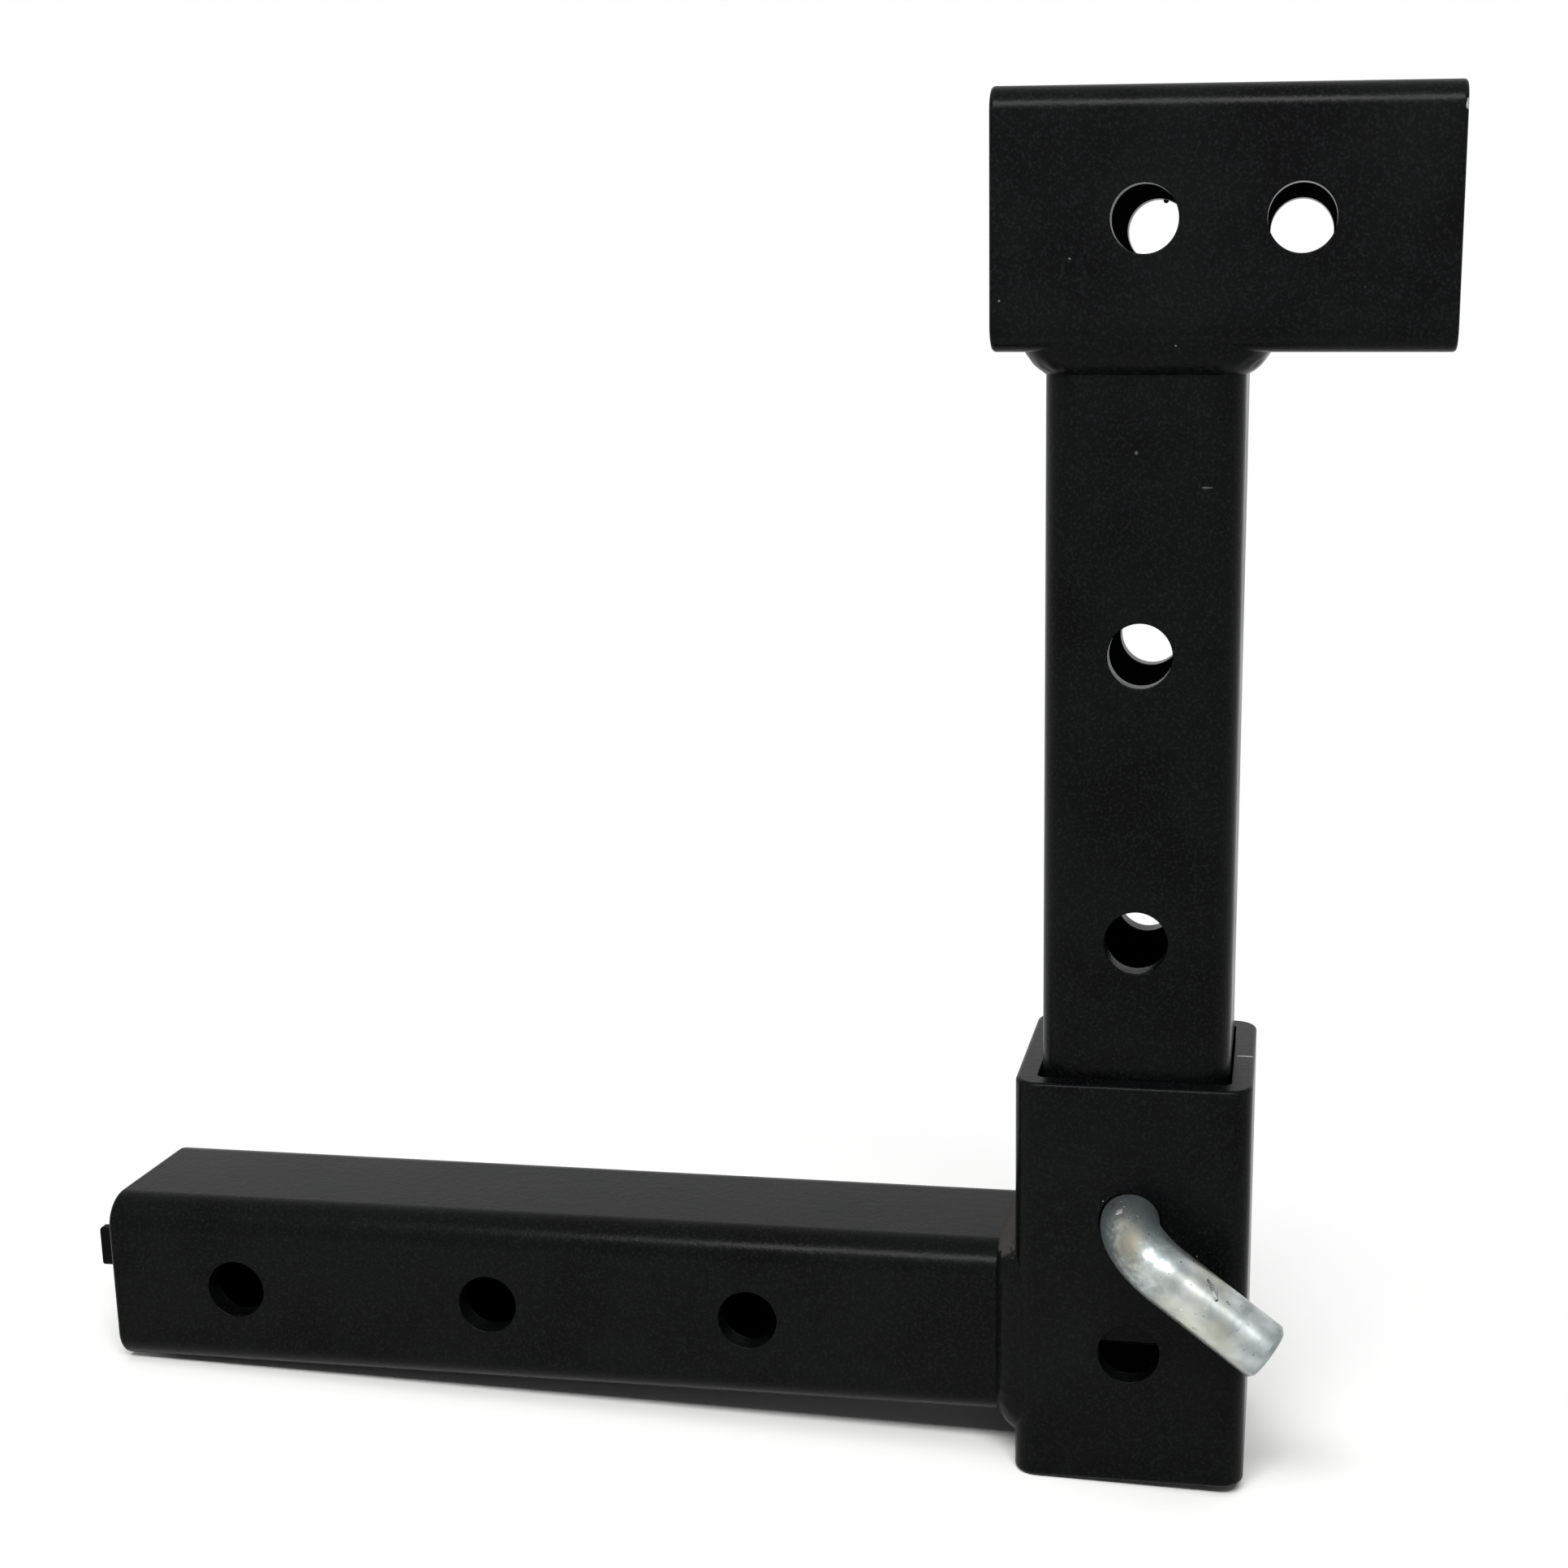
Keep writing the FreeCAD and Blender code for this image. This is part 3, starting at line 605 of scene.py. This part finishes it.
def zinc_plate(marks):
    """Bright zinc on drawn rod. Marks are places in mm with another colour and a softer or crisper edge."""
    material, tree = new_material("bright_zinc_plate_on_drawn_steel")
    coords = node(tree, "ShaderNodeTexCoord")
    where = coords.outputs["Object"]
    cloud = node(tree, "ShaderNodeTexNoise", Vector=where, Scale=1 / MOTTLE, Detail=3.0)
    fleck = node(tree, "ShaderNodeTexNoise", Vector=where, Scale=1 / FLECK)
    stain = node(tree, "ShaderNodeTexNoise", Vector=where, Scale=1 / TINT)
    drawn = node(tree, "ShaderNodeMapping", Vector=coords.outputs["UV"],
                 Scale=(1 / DRAWN_APART, 1 / DRAWN_LENGTH, 1))
    lines = node(tree, "ShaderNodeTexNoise", Vector=drawn, Scale=1.0)

    # Light metal, greyer in clouds, with a breath of yellow-green passivation.
    shift = node(tree, "ShaderNodeMapRange", Value=cloud, From_Min=NOISE_LOW, From_Max=NOISE_HIGH)
    colour = node(tree, "ShaderNodeMix", {"data_type": "RGBA"}, in0=shift, in6=linear(ZINC),
                  in7=linear(ZINC_GREYER))
    tint = node(tree, "ShaderNodeMapRange", Value=stain, From_Min=0.42, From_Max=0.62, To_Max=0.45)
    colour = node(tree, "ShaderNodeMix", {"data_type": "RGBA"}, in0=tint, in6=colour,
                  in7=linear(ZINC_YELLOWER))

    # The bend is dull and mottled and painted darker as a reflection of the black sleeve, and pale scuffs and
    # dark pits lie over everything.
    bend = node(tree, "ShaderNodeAttribute", {"attribute_name": "bend"}).outputs["Fac"]
    blotch = node(tree, "ShaderNodeMath", {"operation": "ADD"}, in0=cloud, in1=fleck)
    patch = node(tree, "ShaderNodeMapRange", Value=blotch, From_Min=0.84, From_Max=1.12, To_Min=0.25)
    dull_and_painted_reflection = node(tree, "ShaderNodeMath", {"operation": "MULTIPLY"}, in0=bend, in1=patch)
    colour = node(tree, "ShaderNodeMix", {"data_type": "RGBA"}, in0=dull_and_painted_reflection, in6=colour, in7=linear(ZINC_DULL_AND_PAINTED_REFLECTION))
    scuff = node(tree, "ShaderNodeMapRange", Value=fleck, From_Min=0.70, From_Max=0.76, To_Max=0.7)
    colour = node(tree, "ShaderNodeMix", {"data_type": "RGBA"}, in0=scuff, in6=colour, in7=linear(SCUFF))
    pit = node(tree, "ShaderNodeMapRange", Value=fleck, From_Min=0.27, From_Max=0.32, To_Min=0.8,
               To_Max=0.0)
    colour = node(tree, "ShaderNodeMix", {"data_type": "RGBA"}, in0=pit, in6=colour, in7=linear(PIT))
    for centre, reach, shown, soft in marks:
        mask = spot(tree, where, centre, reach, soft)
        colour = node(tree, "ShaderNodeMix", {"data_type": "RGBA"}, in0=mask, in6=colour, in7=linear(shown))

    rough = node(tree, "ShaderNodeMapRange", Value=cloud, From_Min=0.3, From_Max=0.7, To_Min=0.28,
                 To_Max=0.40)
    rougher = node(tree, "ShaderNodeMath", {"operation": "MULTIPLY_ADD"}, in0=dull_and_painted_reflection, in1=0.16, in2=rough)
    haze = node(tree, "ShaderNodeMapRange", Value=dull_and_painted_reflection, To_Min=1.0, To_Max=0.8)
    height = node(tree, "ShaderNodeMath", {"operation": "MULTIPLY_ADD"}, in0=lines, in1=0.5, in2=fleck)
    skin = node(tree, "ShaderNodeBump", Strength=0.35, Distance=PLATE_DEPTH, Height=height)
    metal = node(tree, "ShaderNodeBsdfPrincipled", Base_Color=colour, Metallic=haze, Roughness=rougher,
                 Normal=skin)
    node(tree, "ShaderNodeOutputMaterial", Surface=metal)
    return material


print(f"zinc with mottling of {MOTTLE / MM:.0f} mm and flecks of {FLECK / MM:.1f} mm")

# %% Plate the pin
NICK_LINES_MM = [((282.2, -51.9, 31.9), (284.5, -55.1, 28.0)), ((284.5, -55.1, 28.0), (284.6, -53.4, 29.9))]
# The nick's dark line is painted shade, standing for the shade inside the cut.
NICK_PAINTED_SHADE = "#4a4f50"
NICK_SHADE_REACH = (0.48, 0.48, 0.48)
NICK_SHADE_STEPS = 9
pin_marks = [
    ((258.0, -39.9, 44.3), (1.0, 1.0, 1.0), "#f2f2f0", CRISP),
    ((261.6, -48.8, 40.0), (3.0, 5.4, 4.6), "#8a877a", 1.3),
]
nick_start, nick_end = map(Vector, NICK_LINES_MM[0])
for k in range(NICK_SHADE_STEPS):
    pin_marks.append((nick_start.lerp(nick_end, k / (NICK_SHADE_STEPS - 1)), NICK_SHADE_REACH, NICK_PAINTED_SHADE, 0.4))
zinc = zinc_plate(pin_marks)
print("mixed:", zinc.name, "with", len(pin_marks), "marks")

# %% [markdown]
# ## The hitch pin
# A rod on a path of a line, an arc and a line. A curve with a round bevel would come close, but rings
# placed one by one also give the chamfered ends, the slightly flattened bend and a UV map along the rod.

# %% Lay out the pin's path
PIN_RADIUS = 15.875 / 2 * MM
BEND_RADIUS = 15.5 * MM
BEND_TURN = math.radians(82.7)
BEND_GAP = 0.5 * MM
ARM = 32.5 * MM
SWING = math.radians(34.5)
CHAMFER = 1.2 * MM
CHAMFER_LIP = 0.25 * MM
RING_APART = 0.9 * MM
pin_high = Vector(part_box("hitch_pin")[1])
pin_tip = Vector((post_axis.x, pin_high.y, sleeve_high.z - receiver_first_hole))
shaft_length = pin_high.y - (sleeve_low.y - BEND_GAP)
aside = Vector((math.cos(SWING), 0, -math.sin(SWING)))
upward = Vector((math.sin(SWING), 0, math.cos(SWING)))


def along_pin(run):
    """The centre and direction of the pin at a distance from its tail, and how far it is bent there."""
    bend_length = BEND_RADIUS * BEND_TURN
    turn = min(max((run - shaft_length) / BEND_RADIUS, 0.0), BEND_TURN)
    forward = Vector((0, -1, 0))
    heading = forward * math.cos(turn) + aside * math.sin(turn)
    centre = pin_tip + forward * min(run, shaft_length)
    centre += forward * BEND_RADIUS * math.sin(turn) + aside * BEND_RADIUS * (1 - math.cos(turn))
    centre += heading * max(run - shaft_length - bend_length, 0.0)
    return centre, heading, math.sin(math.pi * turn / BEND_TURN)


def pin_stations(length):
    """Distances along the pin where a ring goes, each with its radius: closest at the chamfers."""
    lip = CHAMFER_LIP
    face = PIN_RADIUS - CHAMFER
    start = [(0.0, face - lip), (0.1 * lip, face - 0.3 * lip), (0.4 * lip, face + 0.2 * lip),
             (CHAMFER - 0.3 * lip, PIN_RADIUS - 0.5 * lip), (CHAMFER + 0.3 * lip, PIN_RADIUS - 0.1 * lip),
             (CHAMFER + 1.2 * lip, PIN_RADIUS)]
    spaced = np.arange(CHAMFER + 2 * MM, length - CHAMFER - 1 * MM, RING_APART)
    end = [(length - run, reach) for run, reach in reversed(start)]
    return start + [(run, PIN_RADIUS) for run in spaced] + end


pin_length = shaft_length + BEND_RADIUS * BEND_TURN + ARM
print(f"pin: {pin_length / MM:.1f} mm of rod, {len(pin_stations(pin_length))} rings")

# %% Sweep the pin
RING = 72
FLATTENED = 0.025
# Where the bend is dull and painted darker; the darkness is partly a painted reflection of the black sleeve.
DULL_REFLECTION_BEFORE = 6 * MM
DULL_REFLECTION_AFTER = 4 * MM
DULL_REFLECTION_FADE = 14 * MM
bend_end = shaft_length + BEND_RADIUS * BEND_TURN
rod = bmesh.new()
wrap = rod.loops.layers.uv.new("rod")
bent = rod.verts.layers.float.new("bend")
rings = []
for run, reach in pin_stations(pin_length):
    centre, heading, flex = along_pin(run)
    inward = heading.cross(upward)
    squeeze = 1 - FLATTENED * flex
    dull_reflection_in = min(max((run - shaft_length + DULL_REFLECTION_BEFORE) / DULL_REFLECTION_BEFORE, 0), 1)
    dull_reflection_out = min(max((bend_end - run + DULL_REFLECTION_AFTER) / DULL_REFLECTION_FADE, 0), 1)
    ring = []
    for k in range(RING):
        angle = 2 * math.pi * k / RING
        around = inward * math.cos(angle) * squeeze + upward * math.sin(angle)
        vert = rod.verts.new(centre + reach * around)
        vert[bent] = dull_reflection_in * dull_reflection_out
        ring.append(vert)
    rings.append((run, ring))
for (run, ring), (next_run, next_ring) in zip(rings, rings[1:]):
    for k in range(RING):
        after = (k + 1) % RING
        face = rod.faces.new((ring[k], ring[after], next_ring[after], next_ring[k]))
        face.smooth = True
        corners = ((k, run), (k + 1, run), (k + 1, next_run), (k, next_run))
        for loop, (turn, along) in zip(face.loops, corners):
            loop[wrap].uv = (turn / RING * 2 * math.pi * PIN_RADIUS, along)
rod.faces.new(rings[0][1])
rod.faces.new(rings[-1][1])
bmesh.ops.recalc_face_normals(rod, faces=rod.faces)
pin = bpy.data.objects.new("pin_rod", bpy.data.meshes.new("pin_rod"))
rod.to_mesh(pin.data)
rod.free()
bpy.context.scene.collection.objects.link(pin)
pin.data.materials.append(zinc)
print(f"pin: {len(pin.data.polygons)} faces")

# %% [markdown]
# ## Cuts in the pin
# The tail has a cross hole for a clip, and the arm a small nick that a tool left. Both are cut out
# of the rod, so they stay real from every side and in the mesh.

# %% Cut the clip hole and the nick
def cutter(name, shape, matrix):
    """A throw-away solid that a Boolean takes out of another."""
    made = bpy.data.objects.new(name, bpy.data.meshes.new(name))
    shape.transform(matrix)
    shape.to_mesh(made.data)
    shape.free()
    bpy.context.scene.collection.objects.link(made)
    return made


CLIP_HOLE = 4.4 * MM
CLIP_INSET = 9.0 * MM
CLIP_STEPS = 40
NICK_RADIUS = 0.6 * MM
NICK_TAPER = 0.3
NICK_SIDES = 4
NICK_LIFT = 0.1 * MM
SHARP_ANGLE = math.radians(35)
clip_shape = bmesh.new()
bmesh.ops.create_cone(clip_shape, cap_ends=True, segments=CLIP_STEPS, radius1=CLIP_HOLE / 2,
                      radius2=CLIP_HOLE / 2, depth=4 * PIN_RADIUS)
clip_centre = pin_tip + Vector((0, -CLIP_INSET, 0))
clip_turn = upward.to_track_quat("Z", "Y").to_matrix().to_4x4()
clip = cutter("clip_hole_cutter", clip_shape, Matrix.Translation(clip_centre) @ clip_turn)

arm_centre, arm_heading, _ = along_pin(pin_length - ARM / 2)
tools = [clip]
for line_start, line_end in NICK_LINES_MM:
    start = Vector(line_start) * MM
    end = Vector(line_end) * MM
    middle = (start + end) / 2
    outward = (middle - arm_centre) - (middle - arm_centre).project(arm_heading)
    nick_shape = bmesh.new()
    bmesh.ops.create_cone(nick_shape, cap_ends=True, segments=NICK_SIDES, radius1=NICK_TAPER * NICK_RADIUS,
                          radius2=NICK_RADIUS, depth=(end - start).length)
    nick_turn = (end - start).to_track_quat("Z", "Y").to_matrix().to_4x4()
    nick_place = Matrix.Translation(middle + outward.normalized() * NICK_LIFT)
    tools.append(cutter("nick_cutter", nick_shape, nick_place @ nick_turn))
for tool in tools:
    taken = pin.modifiers.new(tool.name, "BOOLEAN")
    taken.operation = "DIFFERENCE"
    taken.object = tool
    taken.solver = "EXACT"
plain(pin)
for tool in tools:
    bpy.data.objects.remove(tool)
pin.data.set_sharp_from_angle(angle=SHARP_ANGLE)
print(f"pin after its cuts: {len(pin.data.polygons)} faces")

# %% [markdown]
# ## The end plug
# Polyethylene plugs are moulded, so their corners are round and their surface carries the fine
# texture of the mould. The solid already has the form, so a copy of it only gets rounded edges.

# %% Mix the plastic and round the plug
PLASTIC_CLOUD = 11 * MM
SPARK = 0.6 * MM  # a spark-eroded mould leaves a finer grain than this, which wouldn't show
PLASTIC_DEPTH = 0.03 * MM
PLUG_ROUND = 0.5 * MM


def moulded_polyethylene():
    """Soft black plastic: a broad dull sheen and a grain that keeps it from looking like paint."""
    material, tree = new_material("moulded_black_polyethylene")
    where = node(tree, "ShaderNodeTexCoord").outputs["Object"]
    cloud = node(tree, "ShaderNodeTexNoise", Vector=where, Scale=1 / PLASTIC_CLOUD)
    spark = node(tree, "ShaderNodeTexNoise", Vector=where, Scale=1 / SPARK, Detail=1.0)
    shift = node(tree, "ShaderNodeMapRange", Value=cloud, From_Min=NOISE_LOW, From_Max=NOISE_HIGH)
    colour = node(tree, "ShaderNodeMix", {"data_type": "RGBA"}, in0=shift, in6=linear("#050506"),
                  in7=linear("#080809"))
    rough = node(tree, "ShaderNodeMapRange", Value=cloud, From_Min=0.3, From_Max=0.7, To_Min=0.5, To_Max=0.6)
    skin = node(tree, "ShaderNodeBump", Strength=0.5, Distance=PLASTIC_DEPTH, Height=spark)
    plastic = node(tree, "ShaderNodeBsdfPrincipled", Base_Color=colour, Roughness=rough, IOR=1.51,
                   Specular_IOR_Level=0.04, Normal=skin)
    node(tree, "ShaderNodeOutputMaterial", Surface=plastic)
    return material


plug = bpy.data.objects.new("end_plug", frame["nodes"]["shank_end_plug"].data.copy())
bpy.context.scene.collection.objects.link(plug)
plug.data.materials.clear()
plug.data.materials.append(moulded_polyethylene())
rounded(plug, PLUG_ROUND)

# %% [markdown]
# ## Tie the pieces to the frame
# Each piece stands for one solid and moves with that solid's body, so a pose moves the look as well.

# %% Ride on the bodies
rides = [
    (shank, "shank_and_sleeve", "shank_tube", "powder_coat"),
    (sleeve, "shank_and_sleeve", "receiver_sleeve", "powder_coat"),
    (shank_bead, "shank_and_sleeve", "shank_weld", "powder_coat"),
    (plug, "shank_and_sleeve", "shank_end_plug", "plug_plastic"),
    (post, "post_and_head", "post_tube", "powder_coat"),
    (head, "post_and_head", "head_receiver", "powder_coat"),
    (head_bead, "post_and_head", "head_weld", "powder_coat"),
    (pin, "pin", "hitch_pin", "zinc_plate"),
]
for piece, body_name, solid, slot in rides:
    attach(piece, body_name)
    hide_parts(solid)

# %% [markdown]
# ## Floor and light
# The hitch leans a little: it rests on the shank's free end and on the sleeve's lower edge. The frame
# stays square, so the floor is tilted instead, through those two lines. Near the hitch it is lit white paper
# that takes the shadow, and further out it turns into the plain white of the background. A backdrop would
# do as well, but it would stand in the way of views from behind.

# %% Lay the floor
FLOOR_HALF = 6.0
SINK = 0.1 * MM
PAPER_FORWARD = -0.06
PAPER_REACH = 0.17
PLAIN_REACH = 0.30
rest_left = Vector((shank_low.x, 0, shank_low.z))
rest_right = Vector((sleeve_low.x, 0, sleeve_low.z))
slope = (rest_right - rest_left).normalized()
middle_of = (Vector(cad_box[0]) + Vector(cad_box[1])) / 2


def to_eye(tree):
    """1 for what the eye sees straight, mirrored or through something clear, 0 for rays that only light."""
    ray = node(tree, "ShaderNodeLightPath").outputs
    straight = node(tree, "ShaderNodeMath", {"operation": "MAXIMUM"}, in0=ray["Is Camera Ray"],
                    in1=ray["Is Transmission Ray"])
    return node(tree, "ShaderNodeMath", {"operation": "MAXIMUM"}, in0=straight, in1=ray["Is Glossy Ray"])


def white_paper():
    """Matt white paper around the hitch, fading to a plain white that only the eye sees."""
    material, tree = new_material("matt_white_paper")
    where = node(tree, "ShaderNodeTexCoord").outputs["Object"]
    away = node(tree, "ShaderNodeVectorMath", {"operation": "DISTANCE"}, in0=where,
                in1=(middle_of.x, PAPER_FORWARD, rest_right.z))
    fading = node(tree, "ShaderNodeMapRange", Value=away, From_Min=PAPER_REACH, From_Max=PLAIN_REACH)
    share = node(tree, "ShaderNodeMath", {"operation": "MULTIPLY"}, in0=fading, in1=to_eye(tree))
    paper = node(tree, "ShaderNodeBsdfPrincipled", Base_Color=linear("#fbfbfa"), Roughness=0.9,
                 Specular_IOR_Level=0.0)
    glow = node(tree, "ShaderNodeEmission", Color=linear("#ffffff"), Strength=1.0)
    seen = node(tree, "ShaderNodeMixShader", in0=share, in1=paper, in2=glow)
    node(tree, "ShaderNodeOutputMaterial", Surface=seen)
    return material


def on_floor(x, y, height):
    """A point above the tilted floor."""
    return rest_left + slope * (x - rest_left.x) + Vector((0, y, height))


signs = ((-1, -1), (1, -1), (1, 1), (-1, 1))
floor_corners = [on_floor(sx * FLOOR_HALF, sy * FLOOR_HALF, -SINK) for sx, sy in signs]
floor_mesh = bpy.data.meshes.new("floor")
floor_mesh.from_pydata(floor_corners, [], [(0, 1, 2, 3)])
floor_mesh.materials.append(white_paper())
floor = bpy.data.objects.new("floor", floor_mesh)
bpy.context.scene.collection.objects.link(floor)
print(f"floor slopes {math.degrees(math.atan2(-slope.z, slope.x)):.2f} degrees down towards the sleeve")

# %% [markdown]
# ## Light
# A wide lamp above the camera draws the bright lines along the rounded edges and keeps the floor in front
# of the hitch white. A large softbox overhead fills in from above, and a dim dome from all sides. The eye
# sees a plain white room around them, straight and in every reflection, so the softbox needn't show there.

# %% Light the stage
DOME = 0.2
world = bpy.data.worlds.new("pale_dome")
world.use_nodes = True
sky = world.node_tree
sky.nodes.clear()
level = node(sky, "ShaderNodeMath", {"operation": "MAXIMUM"}, in0=DOME, in1=to_eye(sky))
dome = node(sky, "ShaderNodeBackground", Color=linear("#ffffff"), Strength=level)
node(sky, "ShaderNodeOutputWorld", Surface=dome)
bpy.context.scene.world = world


def softbox(name, place, aim, size, watts):
    """A rectangular lamp at a place, turned towards another, that the camera doesn't see."""
    lamp = bpy.data.lights.new(name, "AREA")
    lamp.shape = "RECTANGLE"
    lamp.size, lamp.size_y = size
    lamp.energy = watts
    obj = bpy.data.objects.new(name, lamp)
    obj.location = place
    obj.rotation_euler = (Vector(aim) - Vector(place)).to_track_quat("-Z", "Y").to_euler()
    obj.visible_camera = False
    bpy.context.scene.collection.objects.link(obj)
    print(f"{name}: {watts} W over {size[0]} by {size[1]} m")
    return obj


top_light = softbox("top_softbox", (0.15, 0.0, 1.7), (0.15, 0.0, 0.0), (2.0, 2.0), 18)
top_light.visible_glossy = False
softbox("key_lamp", (0.25, -0.72, 0.84), (0.24, 0.0, 0.1), (0.86, 0.22), 12)

# %% [markdown]
# ## The camera
# The view was found by fitting a camera to the edges and holes of the hitch: it stands close, a little
# above the post's middle, and looks down and to the left. The picture is a part of a wider one, so the lens
# is shifted rather than turned, which keeps the post's sides as nearly upright as they look.

# %% Set the camera
IMAGE = 1932
FOCAL_PIXELS = 2644.4
CENTRE_PIXELS = (1230.4, 1011.0)
SENSOR_MM = 36
CAMERA_PLACE = (0.2978, -0.5711, 0.2664)
LOOKS_DOWN = 12.318
LOOKS_LEFT = 7.715
lens = bpy.data.cameras.new("camera")
lens.sensor_width = SENSOR_MM
lens.lens = FOCAL_PIXELS * SENSOR_MM / IMAGE
lens.shift_x = 0.5 - CENTRE_PIXELS[0] / IMAGE
lens.shift_y = CENTRE_PIXELS[1] / IMAGE - 0.5
lens.clip_start = 0.01
camera = bpy.data.objects.new("camera", lens)
camera.location = CAMERA_PLACE
camera.rotation_euler = (math.radians(90 - LOOKS_DOWN), 0, math.radians(LOOKS_LEFT))
bpy.context.scene.collection.objects.link(camera)
bpy.context.scene.camera = camera
bpy.context.scene.view_settings.view_transform = "Standard"
print(f"lens {lens.lens:.1f} mm, shift {lens.shift_x:.3f}, {lens.shift_y:.3f}")

# %% [markdown]
# ## The box to fill
# The new pieces have to fill the same box as the solids they stand for. The solids' box is written down.

# %% Print the solids' box
print("CAD box   ", np.round(cad_box, 4).tolist())
